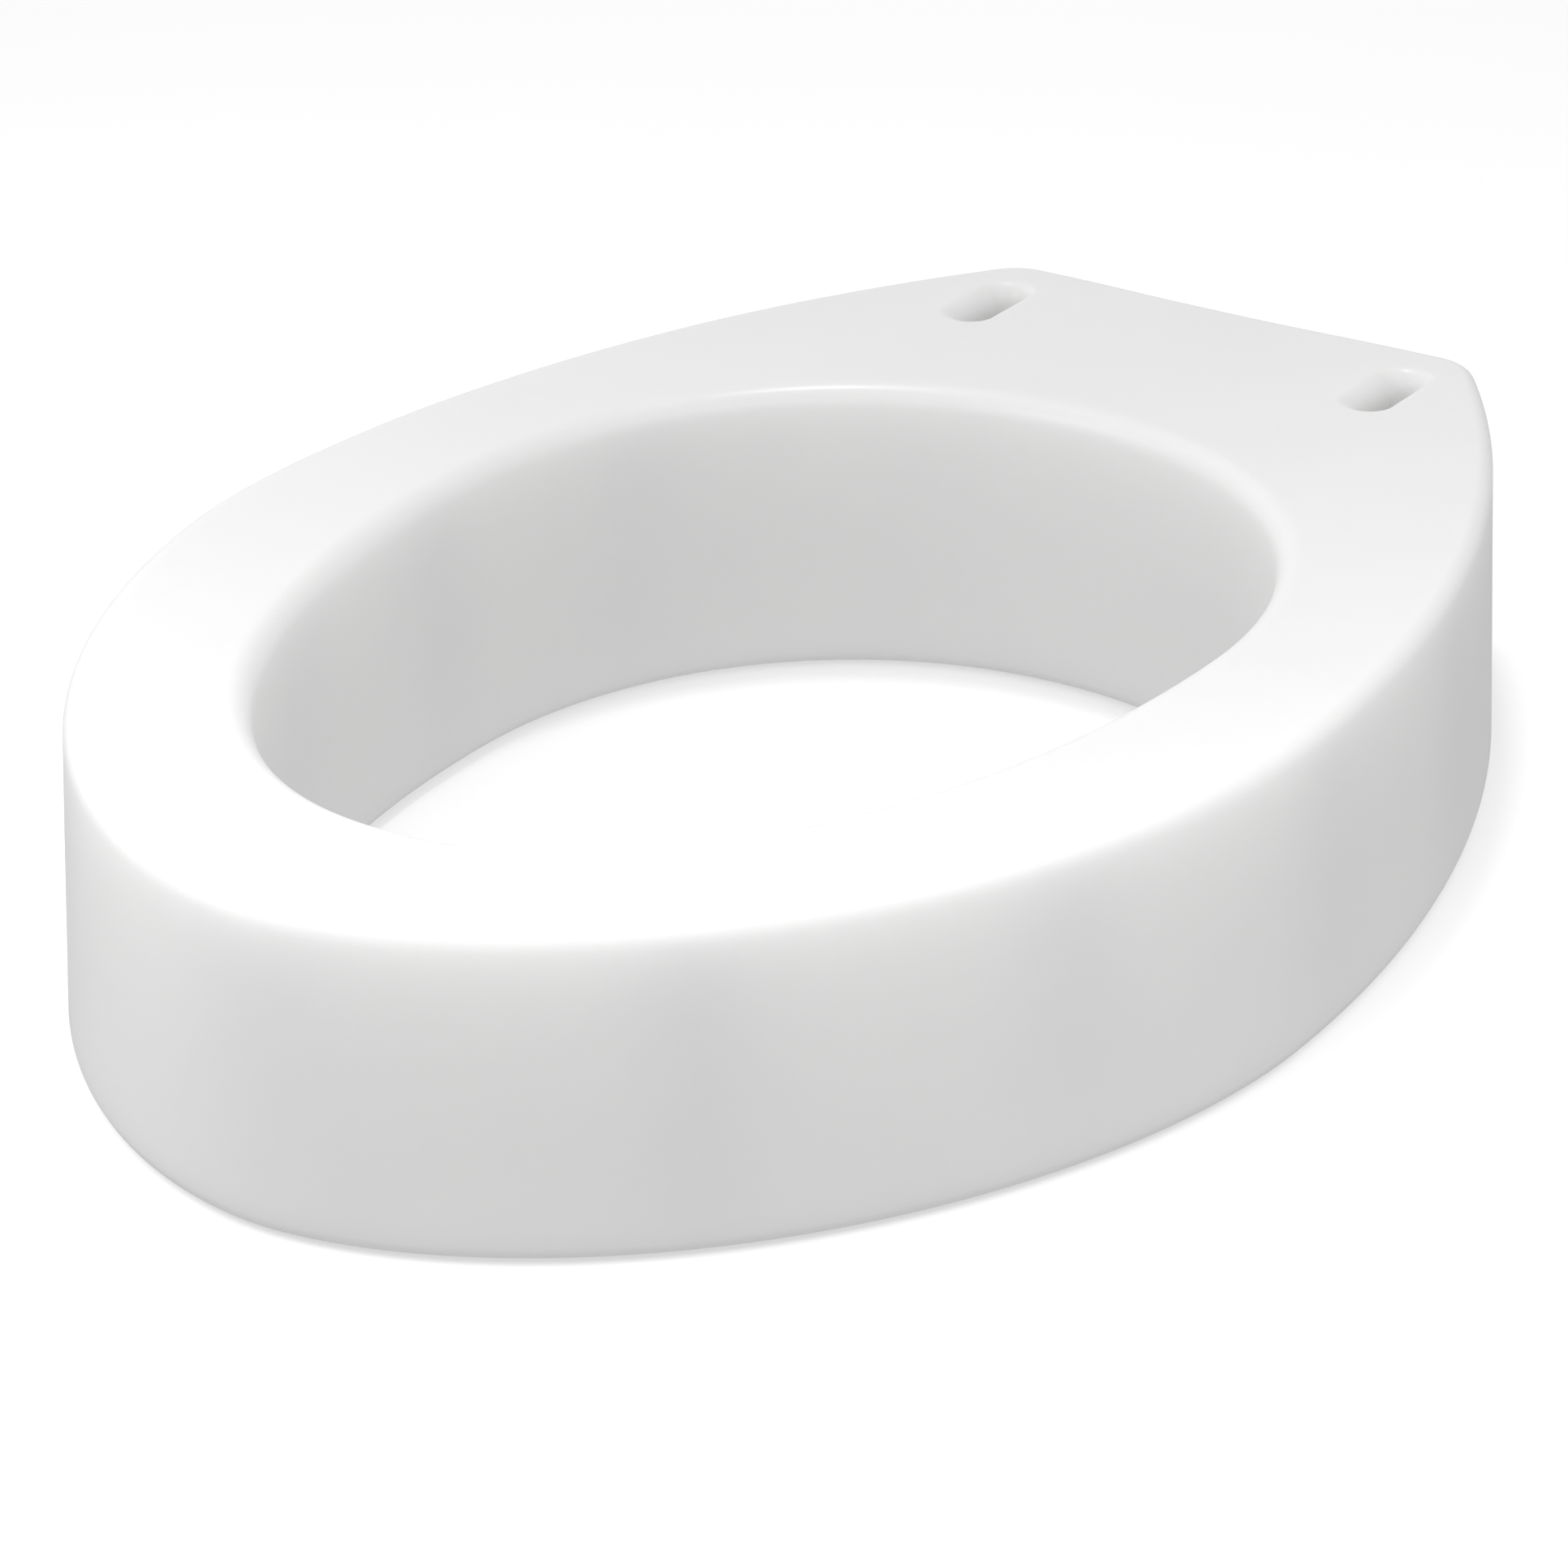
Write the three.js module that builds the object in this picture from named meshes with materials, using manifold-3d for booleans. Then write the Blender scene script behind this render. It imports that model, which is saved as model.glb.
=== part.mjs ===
// Raised toilet seat, elongated: a hollow blow-moulded ring that stands on a toilet bowl's rim and
// lifts the household seat. The seat's two hinge bolts pass down through the slots behind the hole.
//
// Millimetres. +Z is up, -Y is the front, +X is to the right of someone who faces the front. The origin
// is the middle of the footprint, on the plane that the four rubber pads stand on.

import * as THREE from 'three';
import { mergeVertices } from 'three/addons/utils/BufferGeometryUtils.js';
import Module from 'manifold-3d';

const wasm = await Module();
wasm.setup();

// ---- Driving dimensions ----

// Moulding
const PAD_PROUD = 1;
const BASE_Z = PAD_PROUD;
const BODY_HEIGHT = 90;
const DECK_Z = BASE_Z + BODY_HEIGHT;
const SKIN = 3.5;

// Outer outline at the base: a blunt superellipse in front, bowed sides, and a rear edge with soft lobes
const HALF_WIDTH = 176;
const HALF_LENGTH = 248;
const WIDEST_Y = -27;
const FRONT_EXPONENT = 1.81;
const SIDE_RADIUS = 445;
const CORNER_RADIUS = 20;
const REAR_HOLLOW = 1.6;

// Hole outline at the top of its wall: two half ellipses, a little full, that meet at its widest place
const HOLE_HALF_WIDTH = 122.5;
const HOLE_WIDEST_Y = 13;
const HOLE_FRONT_LENGTH = 199.5;
const HOLE_REAR_LENGTH = 131.5;
const HOLE_EXPONENT = 2.08;

// Section of the ring. Its outer wall is steeper and its deck edge rounder behind the widest place.
const FRONT_DRAFT = 3.5;
const REAR_DRAFT = 2.5;
const FRONT_DECK_RADIUS = 6;
const REAR_DECK_RADIUS = 5;
const CHANGE_FROM_Y = -130;
const CHANGE_TO_Y = 0;
const HOLE_FLARE = 1;
const DECK_HOLE_RADIUS = 7;
const BASE_OUTER_RADIUS = 4;
const BASE_HOLE_RADIUS = 5;
const INSIDE_RADIUS = 3;
const HOLLOW_HOLE_RADIUS = 3.5;

// Bolt slots, on the usual spacing of seat hinge bolts
const BOLT_SPACING = 139.7;
const SLOT_Y = 212;
const SLOT_WIDTH = 9;
const SLOT_TRAVEL = 17;
const SLOT_MOUTH = 5.3;
const SLOT_MOUTH_DEPTH = 9;
const SLOT_RAMP = 4;
const SLOT_FOOT = 2;
const SLOT_FOOT_HEIGHT = 8;

// Hollow pillars that join the base to the deck
const PILLAR_COUNT = 12;
const PILLAR_MOUTH_RADIUS = 15;
const PILLAR_TIP_RADIUS = 9;

// Rubber pads in recesses of the base
const PAD_RADIUS = 12;
const PAD_CHAMFER = 1;
const PAD_RECESS = 1.6;
const PAD_PLACES = { front: 0.125, rear: 0.375 };

// Blow-pin hole and its plug
const VENT_Y = 226;
const VENT_RADIUS = 4;
const PLUG_HEAD_RADIUS = 7.5;
const PLUG_HEAD = 1.2;
const PLUG_BARB_RADIUS = 5;
const PLUG_BARB = 3;
const PLUG_TIP_RADIUS = 3;

// Fit and smoothness
const GAP = 0.3;
const PAST = 5;
const RING_STATIONS = 96;
const ROUND_SIDES = 16;
const SLOT_SIDES = 20;
const BASE_STEPS = 2;
const DECK_STEPS = 4;
const MOUTH_STEPS = 4;
const SAME_POINT = 1e-4;

// ---- Materials ----

const moulding = () => new THREE.MeshStandardMaterial({ color: 0xf2f2f0, roughness: 0.42, metalness: 0 });
const padRubber = () => new THREE.MeshStandardMaterial({ color: 0xb9bab8, roughness: 0.85, metalness: 0 });
const plugPlastic = () => new THREE.MeshStandardMaterial({ color: 0xe4e4e2, roughness: 0.5, metalness: 0 });

// ---- Solids ----

// Turns a closed three.js geometry into a solid that can be cut and joined.
function solid(geometry) {
  const bare = geometry.index ? geometry.clone() : geometry;
  bare.deleteAttribute('normal');
  bare.deleteAttribute('uv');
  const merged = mergeVertices(bare, SAME_POINT);
  const mesh = new wasm.Mesh({
    numProp: 3,
    vertProperties: new Float32Array(merged.attributes.position.array),
    triVerts: new Uint32Array(merged.index.array),
  });
  mesh.merge();
  return new wasm.Manifold(mesh);
}

function namedMesh(name, body, material) {
  const { vertProperties, triVerts } = body.getMesh();
  const geometry = new THREE.BufferGeometry();
  geometry.setAttribute('position', new THREE.BufferAttribute(new Float32Array(vertProperties), 3));
  geometry.setIndex(new THREE.BufferAttribute(new Uint32Array(triVerts), 1));
  geometry.computeVertexNormals();
  const mesh = new THREE.Mesh(geometry, material);
  mesh.name = name;
  return mesh;
}

// A turned solid that stands along Z, from its half profile of [radius, z] pairs.
function turned(profile, sides, x = 0, y = 0) {
  const points = profile.map(([radius, z]) => new THREE.Vector2(radius, z));
  const geometry = new THREE.LatheGeometry(points, sides, Math.PI / sides);
  geometry.rotateX(Math.PI / 2);
  geometry.translate(x, y, 0);
  return solid(geometry);
}

// How much further forward a slot's front end lies at a height in its mouth.
function rampAt(z) {
  const share = Math.min(Math.max((z - DECK_Z + SLOT_MOUTH_DEPTH) / SLOT_MOUTH_DEPTH, 0), 1);
  return SLOT_RAMP * share * share;
}

// A turned solid drawn out along Y into a slot's shape, with a ramp at its front end.
function turnedSlot(profile, travel, x, y) {
  const points = profile.map(([radius, z]) => new THREE.Vector2(radius, z));
  const geometry = new THREE.LatheGeometry(points, SLOT_SIDES, Math.PI / SLOT_SIDES);
  geometry.rotateX(Math.PI / 2);
  const position = geometry.attributes.position;
  for (let i = 0; i < position.count; i += 1) {
    const end = Math.abs(position.getY(i)) < SAME_POINT ? 0 : Math.sign(position.getY(i));
    const ramp = end < 0 ? rampAt(position.getZ(i)) : 0;
    position.setY(i, position.getY(i) + (end * travel) / 2 - ramp);
  }
  geometry.translate(x, y, 0);
  return solid(geometry);
}

// ---- Outlines ----

// A quarter of a superellipse on the +X side. The front one runs from its tip on the Y axis to the
// widest place, and the rear one from the widest place to its tip.
class SuperellipseQuarter extends THREE.Curve {
  constructor(end, widestY, halfWidth, length, exponent) {
    super();
    Object.assign(this, { end, widestY, halfWidth, length, exponent });
  }

  getPoint(t, target = new THREE.Vector2()) {
    const fromTip = this.end === 'front' ? t : 1 - t;
    const angle = (fromTip * Math.PI) / 2;
    const power = 2 / this.exponent;
    const across = this.halfWidth * Math.sin(angle) ** power;
    const along = this.length * Math.max(Math.cos(angle), 0) ** power;
    return target.set(across, this.widestY + (this.end === 'front' ? -along : along));
  }
}

// The right half of the outer outline, from the front tip round to the middle of the rear edge.
function outerHalf() {
  const sideX = HALF_WIDTH - SIDE_RADIUS;
  const cornerY = HALF_LENGTH - CORNER_RADIUS;
  const cornerX = sideX + Math.sqrt((SIDE_RADIUS - CORNER_RADIUS) ** 2 - (cornerY - WIDEST_Y) ** 2);
  const turn = Math.atan2(cornerY - WIDEST_Y, cornerX - sideX);
  const rearY = HALF_LENGTH - REAR_HOLLOW;
  const half = new THREE.CurvePath();
  half.add(new SuperellipseQuarter('front', WIDEST_Y, HALF_WIDTH, HALF_LENGTH + WIDEST_Y, FRONT_EXPONENT));
  half.add(new THREE.EllipseCurve(sideX, WIDEST_Y, SIDE_RADIUS, SIDE_RADIUS, 0, turn));
  half.add(new THREE.EllipseCurve(cornerX, cornerY, CORNER_RADIUS, CORNER_RADIUS, turn, Math.PI / 2));
  half.add(new THREE.CubicBezierCurve(
    new THREE.Vector2(cornerX, HALF_LENGTH),
    new THREE.Vector2(cornerX / 2, HALF_LENGTH),
    new THREE.Vector2(cornerX / 2, rearY),
    new THREE.Vector2(0, rearY),
  ));
  return half;
}

// The right half of the hole's outline, from its front to its rear.
function holeHalf() {
  const half = new THREE.CurvePath();
  for (const [end, length] of [['front', HOLE_FRONT_LENGTH], ['rear', HOLE_REAR_LENGTH]]) {
    half.add(new SuperellipseQuarter(end, HOLE_WIDEST_Y, HOLE_HALF_WIDTH, length, HOLE_EXPONENT));
  }
  return half;
}

// A closed outline as evenly spaced points with outward normals, mirrored from its right half.
function closedOutline(half, count) {
  const right = half.getSpacedPoints(count / 2);
  const left = right.slice(1, -1).reverse().map((point) => new THREE.Vector2(-point.x, point.y));
  const points = [...right, ...left];
  return points.map((point, i) => {
    const before = points[(i + count - 1) % count];
    const after = points[(i + 1) % count];
    const normal = new THREE.Vector2(after.y - before.y, before.x - after.x).normalize();
    return { point, normal };
  });
}

const outer = closedOutline(outerHalf(), RING_STATIONS);
const hole = closedOutline(holeHalf(), RING_STATIONS);

// The middle of the deck's band, at a share of the way round from the front.
function bandMiddle(share) {
  const station = Math.round(share * RING_STATIONS) % RING_STATIONS;
  return outer[station].point.clone().add(hole[station].point).multiplyScalar(0.5);
}

// ---- Ring ----

// Nominal turned ring that is bent onto the outlines: radii of its hole and of its outside.
const RING_HOLE = 100;
const RING_OUTSIDE = 200;
const RING_MIDDLE = (RING_HOLE + RING_OUTSIDE) / 2;

function draftAt(rearShare) {
  return THREE.MathUtils.lerp(FRONT_DRAFT, REAR_DRAFT, rearShare);
}

// A quarter turn of the section, from the direction given as a number of quarter turns.
function corner(radius, height, round, quarter, steps) {
  const from = (quarter * Math.PI) / 2;
  return new THREE.EllipseCurve(radius, height, round, round, from, from + Math.PI / 2).getPoints(steps);
}

// The ring's closed section of radius and height, seen with its hole on the left. The rear share is
// 0 in front and 1 behind.
function outerSection(rearShare) {
  const deckRadius = THREE.MathUtils.lerp(FRONT_DECK_RADIUS, REAR_DECK_RADIUS, rearShare);
  const baseOuter = RING_OUTSIDE - BASE_OUTER_RADIUS;
  const deckOuter = RING_OUTSIDE - draftAt(rearShare) - deckRadius;
  const deckHole = RING_HOLE + DECK_HOLE_RADIUS;
  const baseHole = RING_HOLE - HOLE_FLARE + BASE_HOLE_RADIUS;
  const points = [
    ...corner(baseOuter, BASE_Z + BASE_OUTER_RADIUS, BASE_OUTER_RADIUS, -1, BASE_STEPS),
    ...corner(deckOuter, DECK_Z - deckRadius, deckRadius, 0, DECK_STEPS),
    ...corner(deckHole, DECK_Z - DECK_HOLE_RADIUS, DECK_HOLE_RADIUS, 1, DECK_STEPS),
    ...corner(baseHole, BASE_Z + BASE_HOLE_RADIUS, BASE_HOLE_RADIUS, 2, BASE_STEPS),
  ];
  return [...points, points[0]];
}

// The hollow's section, one skin inside the ring's, with its corners cut straight.
function hollowSection(rearShare) {
  const [bottom, top] = [BASE_Z + SKIN, DECK_Z - SKIN];
  const [inside, outside] = [RING_HOLE + SKIN, RING_OUTSIDE - SKIN];
  const points = [
    ...corner(outside - INSIDE_RADIUS, bottom + INSIDE_RADIUS, INSIDE_RADIUS, -1, 1),
    ...corner(outside - draftAt(rearShare) - INSIDE_RADIUS, top - INSIDE_RADIUS, INSIDE_RADIUS, 0, 1),
    ...corner(inside + HOLLOW_HOLE_RADIUS, top - HOLLOW_HOLE_RADIUS, HOLLOW_HOLE_RADIUS, 1, 1),
    ...corner(inside - HOLE_FLARE + INSIDE_RADIUS, bottom + INSIDE_RADIUS, INSIDE_RADIUS, 2, 1),
  ];
  return [...points, points[0]];
}

// A turned ring whose spokes are set between the hole's outline and the outer outline. Each point
// keeps its distance from the nearer outline.
function bentRing(sectionAt) {
  const geometry = new THREE.LatheGeometry(sectionAt(0), RING_STATIONS);
  const position = geometry.attributes.position;
  const sections = outer.map(({ point }) => {
    return sectionAt(THREE.MathUtils.smoothstep(point.y, CHANGE_FROM_Y, CHANGE_TO_Y));
  });
  const { length } = sections[0];
  for (let i = 0; i < position.count; i += 1) {
    const station = Math.floor(i / length) % RING_STATIONS;
    const { x: radius, y: height } = sections[station][i % length];
    const near = radius > RING_MIDDLE ? outer[station] : hole[station];
    const offset = radius - (radius > RING_MIDDLE ? RING_OUTSIDE : RING_HOLE);
    const place = near.point.clone().addScaledVector(near.normal, offset);
    position.setXYZ(i, place.x, place.y, height);
  }
  return solid(geometry);
}

// ---- Bolt slots ----

const slotSides = [-1, 1];

// Profile of a slot's wall: a wide soft mouth at the deck, and a slight flare at the base.
function slotProfile(extra) {
  const throat = SLOT_WIDTH / 2 + extra;
  const [acrossAt, downAt] = [throat + SLOT_MOUTH, DECK_Z - SLOT_MOUTH_DEPTH];
  const mouth = new THREE.EllipseCurve(
    acrossAt, downAt, SLOT_MOUTH, SLOT_MOUTH_DEPTH, Math.PI, Math.PI / 2, true);
  const wall = mouth.getPoints(MOUTH_STEPS).map((point) => [point.x, point.y]);
  const top = DECK_Z + PAST;
  const bottom = BASE_Z - PAST;
  return [
    [0, bottom],
    [throat + SLOT_FOOT, bottom],
    [throat + SLOT_FOOT, BASE_Z],
    [throat, BASE_Z + SLOT_FOOT_HEIGHT],
    ...wall,
    [acrossAt, top],
    [0, top],
  ];
}

function slotAt(side, extra) {
  return turnedSlot(slotProfile(extra), SLOT_TRAVEL, (side * BOLT_SPACING) / 2, SLOT_Y);
}

// ---- Pillars, pad recesses and vent ----

function pillarPlaces() {
  return Array.from({ length: PILLAR_COUNT }, (_, i) => bandMiddle(i / PILLAR_COUNT));
}

// A pillar's well, open below, whose tip stops two skins under the deck's face.
function pillarAt({ x, y }, extra) {
  const tip = DECK_Z - 2 * SKIN + 2 * extra;
  const profile = [
    [0, BASE_Z - PAST],
    [PILLAR_MOUTH_RADIUS + extra, BASE_Z - PAST],
    [PILLAR_MOUTH_RADIUS + extra, BASE_Z],
    [PILLAR_TIP_RADIUS + extra, tip],
    [0, tip],
  ];
  return turned(profile, ROUND_SIDES, x, y);
}

function disc(radius, bottom, top, x, y) {
  return turned([[0, bottom], [radius, bottom], [radius, top], [0, top]], ROUND_SIDES, x, y);
}

const pads = [];
for (const [end, share] of Object.entries(PAD_PLACES)) {
  pads.push({ name: `pad_${end}_right`, place: bandMiddle(share) });
  pads.push({ name: `pad_${end}_left`, place: bandMiddle(1 - share) });
}

function padRecess({ x, y }, extra) {
  return disc(PAD_RADIUS + GAP + extra, BASE_Z - PAST, BASE_Z + PAD_RECESS + extra, x, y);
}

function ventHole() {
  const seat = disc(PLUG_HEAD_RADIUS + GAP, BASE_Z - PAST, BASE_Z + PLUG_HEAD + GAP, 0, VENT_Y);
  const bore = disc(VENT_RADIUS + GAP, BASE_Z, BASE_Z + SKIN + PLUG_HEAD + PAST, 0, VENT_Y);
  return seat.add(bore);
}

function ventBoss() {
  return disc(PLUG_HEAD_RADIUS + GAP + SKIN, BASE_Z - PAST, BASE_Z + SKIN + PLUG_HEAD, 0, VENT_Y);
}

// ---- Sub-parts ----

// The moulding: one skin that runs over the deck, the walls, the base, the slots and the pillars.
function riserShell() {
  let hollow = bentRing(hollowSection);
  let body = bentRing(outerSection);
  for (const side of slotSides) {
    hollow = hollow.subtract(slotAt(side, SKIN));
    body = body.subtract(slotAt(side, 0));
  }
  for (const place of pillarPlaces()) {
    hollow = hollow.subtract(pillarAt(place, SKIN));
    body = body.subtract(pillarAt(place, 0));
  }
  for (const { place } of pads) {
    hollow = hollow.subtract(padRecess(place, SKIN));
    body = body.subtract(padRecess(place, 0));
  }
  hollow = hollow.subtract(ventBoss());
  return body.subtract(hollow).subtract(ventHole());
}

// A soft disc with a chamfered foot, standing proud of the base.
function rubberPad({ x, y }) {
  const top = BASE_Z + PAD_RECESS - GAP;
  const profile = [
    [0, 0],
    [PAD_RADIUS - PAD_CHAMFER, 0],
    [PAD_RADIUS, PAD_CHAMFER],
    [PAD_RADIUS, top],
    [0, top],
  ];
  return turned(profile, ROUND_SIDES, x, y);
}

// A flush head, a stem through the skin and a barb that holds it from inside.
function ventPlug() {
  const head = BASE_Z + PLUG_HEAD;
  const barb = BASE_Z + SKIN + PLUG_HEAD + GAP;
  const profile = [
    [0, BASE_Z],
    [PLUG_HEAD_RADIUS, BASE_Z],
    [PLUG_HEAD_RADIUS, head],
    [VENT_RADIUS, head],
    [VENT_RADIUS, barb],
    [PLUG_BARB_RADIUS, barb],
    [PLUG_TIP_RADIUS, barb + PLUG_BARB],
    [0, barb + PLUG_BARB],
  ];
  return turned(profile, ROUND_SIDES, 0, VENT_Y);
}

// ---- Assembly ----

const riser = new THREE.Group();
riser.add(namedMesh('riser_shell', riserShell(), moulding()));
for (const { name, place } of pads) {
  riser.add(namedMesh(name, rubberPad(place), padRubber()));
}
riser.add(namedMesh('vent_plug', ventPlug(), plugPlastic()));

export default riser;
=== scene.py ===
"""Raised toilet seat, elongated: the looks of a hollow blow-moulded riser with its pads and plug.

Lengths are metres in the frame's own axes: +Z up, -Y the front, +Y the edge with the bolt slots.
"""

import math

import bmesh
import bpy
import numpy as np
from mathutils import Matrix, Vector, noise
from mathutils.geometry import delaunay_2d_cdt


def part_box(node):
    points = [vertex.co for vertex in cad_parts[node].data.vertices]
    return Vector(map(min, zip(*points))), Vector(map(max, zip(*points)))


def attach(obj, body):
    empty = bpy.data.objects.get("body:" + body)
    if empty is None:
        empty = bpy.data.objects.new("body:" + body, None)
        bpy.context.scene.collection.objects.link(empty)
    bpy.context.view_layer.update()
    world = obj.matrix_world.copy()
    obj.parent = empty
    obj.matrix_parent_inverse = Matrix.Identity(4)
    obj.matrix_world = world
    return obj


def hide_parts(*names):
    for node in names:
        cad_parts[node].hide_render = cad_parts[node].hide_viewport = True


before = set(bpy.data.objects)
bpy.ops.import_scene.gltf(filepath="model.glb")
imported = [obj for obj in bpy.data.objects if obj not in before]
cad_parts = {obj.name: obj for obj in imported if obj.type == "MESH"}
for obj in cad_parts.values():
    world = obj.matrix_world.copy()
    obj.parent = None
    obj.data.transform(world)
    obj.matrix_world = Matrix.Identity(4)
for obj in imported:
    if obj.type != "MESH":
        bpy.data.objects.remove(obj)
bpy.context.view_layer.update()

# ---- Dimensions ----

MM = 0.001
shell_low, shell_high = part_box("riser_shell")
HALF_WIDTH = shell_high.x
HALF_LENGTH = shell_high.y
BASE_Z = shell_low.z
DECK_Z = shell_high.z

# Outer outline at the base
WIDEST_Y = -27 * MM
FRONT_EXPONENT = 1.81
SIDE_RADIUS = 445 * MM
CORNER_RADIUS = 20 * MM
CORNER_X = 70 * MM
REAR_HOLLOW = 1.6 * MM

# Hole outline at the top of its wall
HOLE_HALF_WIDTH = 122.5 * MM
HOLE_WIDEST_Y = 13 * MM
HOLE_FRONT_LENGTH = 199.5 * MM
HOLE_REAR_LENGTH = 131.5 * MM
HOLE_EXPONENT = 2.08

# Section of the ring. Pairs are for the front and for behind the widest place, where the outer wall
# is a little steeper and the deck edge tighter.
DRAFT = (3.5 * MM, 2.5 * MM)
DECK_OUTER_RADIUS = (6 * MM, 5 * MM)
CHANGE_Y = (-130 * MM, 0)
HOLE_FLARE = 1 * MM
DECK_HOLE_RADIUS = 7 * MM
BASE_OUTER_RADIUS = 4 * MM
BASE_HOLE_RADIUS = 5 * MM
PARTING_BEAD = 0.2 * MM

# Degrees round the lower edge: where its plain round ends, then steps with their share of the bead
BEAD_START = -40
BEAD_STEPS = (
    (-42, 0),
    (-43.5, 0.7),
    (-45, 1),
    (-46.5, 0.7),
    (-48, 0),
    (-56, 0),
    (-67, 0),
    (-78, 0),
    (-90, 0),
)

# Bolt slots
SLOT_X = 69.85 * MM
SLOT_Y = 212 * MM
SLOT_RADIUS = 4.5 * MM
SLOT_TRAVEL = 17 * MM
SLOT_MOUTH = 5.3 * MM
SLOT_MOUTH_DEPTH = 9 * MM
SLOT_RAMP = 4 * MM
SLOT_FOOT = 2 * MM
SLOT_FOOT_HEIGHT = 8 * MM
SLOT_FOOT_ROUND = 1.5 * MM

# Wells of the hollow pillars
WELL_COUNT = 12
WELL_MOUTH_RADIUS = 15 * MM
WELL_TIP_RADIUS = 9 * MM
WELL_TIP_Z = DECK_Z - 7 * MM
WELL_ROUND = 2 * MM
WELL_TIP_ROUND = 3.5 * MM

# Recesses for the pads and the plug
RECESS_GAP = 0.3 * MM
RECESS_LIP = 0.5 * MM
RECESS_BEVEL = 0.3 * MM
VENT_LIP = 0.4 * MM
PAD_RECESS = 1.6 * MM
PAD_NODES = ("pad_front_right", "pad_front_left", "pad_rear_right", "pad_rear_left")
VENT_BORE_RADIUS = 5.4 * MM
VENT_BORE = 11 * MM
PLUG_RECESS = 1.5 * MM

# Pads: the ring grooves of the foot, from their middle to the mouth's edge and the floor's
PAD_GROOVE = 0.45 * MM
PAD_GROOVE_RADII = (2.2 * MM, 4.6 * MM, 7.0 * MM, 9.4 * MM)
PAD_GROOVE_MOUTH = 0.55 * MM
PAD_GROOVE_FLOOR = 0.4 * MM
PAD_FOOT_ROUND = 0.9 * MM
PAD_TOP_ROUND = 0.35 * MM

# Plug: radii of stem, barb and tip, and the dish in its head as millimetres of radius and height
PLUG_HEAD = 1.2 * MM
PLUG_RADII = (4 * MM, 5 * MM, 3 * MM)
PLUG_DISH = ((1.4, 0.55), (2.2, 0.5), (2.7, 0.15), (3.1, 0.02))
PLUG_RIM_ROUND = 0.5 * MM

# Easing of an outline's curvature: its steps and passes, and what stays as it is near a sharp place
EASE_SHARES = (0.5, -0.51)
EASE_PASSES = 60
SHARP_REACH = 40 * MM
SHARP_BLEND = 50 * MM

# Mesh: points along the outlines and round the openings, and rings across a flat band
STATIONS = 480
BAND_STEPS = 18
BAND_EDGE = 0.02
SLOT_AROUND = 72
WELL_AROUND = 48
PLUG_AROUND = 40
PAD_AROUND = 64
STOPPER_AROUND = 48
FLAT_RING = 0.7 * MM
OPENING_MARGIN = 2.2 * MM
SAME_POINT = 0.004 * MM
FLAT_AREA = 1e-4 * MM * MM

# The slow unevenness of the skin, and the sinks over the pillars
CALM_HEIGHT = 8 * MM
CALM_FADE = 20 * MM
SLOW_WAVE = 95 * MM
SLOW_DEPTH = 0.16 * MM
SHORT_WAVE = 38 * MM
SHORT_DEPTH = 0.05 * MM
SINK_RADIUS = 10 * MM
SINK_DEPTH = 0.07 * MM
HIGHEST = DECK_Z + 0.3 * MM


# ---- Outlines ----


def superellipse(half_width, length, widest_y, exponent, front, count=1500):
    """A quarter on the +X side, from the front: tip to widest place, or widest place to tip."""
    angle = np.linspace(0, math.pi / 2, count)
    across = half_width * np.sin(angle) ** (2 / exponent)
    along = length * np.cos(angle).clip(0) ** (2 / exponent)
    if front:
        return np.stack([across, widest_y - along], 1)
    return np.stack([across[::-1], widest_y + along[::-1]], 1)


def arc(centre, radius, start, stop, count):
    angle = np.linspace(start, stop, count)
    return np.stack([centre[0] + radius * np.cos(angle), centre[1] + radius * np.sin(angle)], 1)


def outer_half():
    side_x = HALF_WIDTH - SIDE_RADIUS
    corner_y = HALF_LENGTH - CORNER_RADIUS
    reach = (SIDE_RADIUS - CORNER_RADIUS) ** 2 - (corner_y - WIDEST_Y) ** 2
    corner_x = side_x + math.sqrt(reach)
    turn = math.atan2(corner_y - WIDEST_Y, corner_x - side_x)
    t = np.linspace(0, 1, 400)[:, None]
    ends = [(corner_x, HALF_LENGTH), (corner_x / 2, HALF_LENGTH)]
    ends += [(corner_x / 2, HALF_LENGTH - REAR_HOLLOW), (0, HALF_LENGTH - REAR_HOLLOW)]
    a, b, c, d = (np.array(p) for p in ends)
    rear = a * (1 - t) ** 3 + 3 * b * t * (1 - t) ** 2 + 3 * c * t * t * (1 - t) + d * t**3
    return np.concatenate(
        [
            superellipse(HALF_WIDTH, HALF_LENGTH + WIDEST_Y, WIDEST_Y, FRONT_EXPONENT, True),
            arc((side_x, WIDEST_Y), SIDE_RADIUS, 0, turn, 800)[1:],
            arc((corner_x, corner_y), CORNER_RADIUS, turn, math.pi / 2, 300)[1:],
            rear[1:],
        ]
    )


def hole_half():
    front = superellipse(HOLE_HALF_WIDTH, HOLE_FRONT_LENGTH, HOLE_WIDEST_Y, HOLE_EXPONENT, True)
    rear = superellipse(HOLE_HALF_WIDTH, HOLE_REAR_LENGTH, HOLE_WIDEST_Y, HOLE_EXPONENT, False)
    return np.concatenate([front, rear[1:]])


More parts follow.
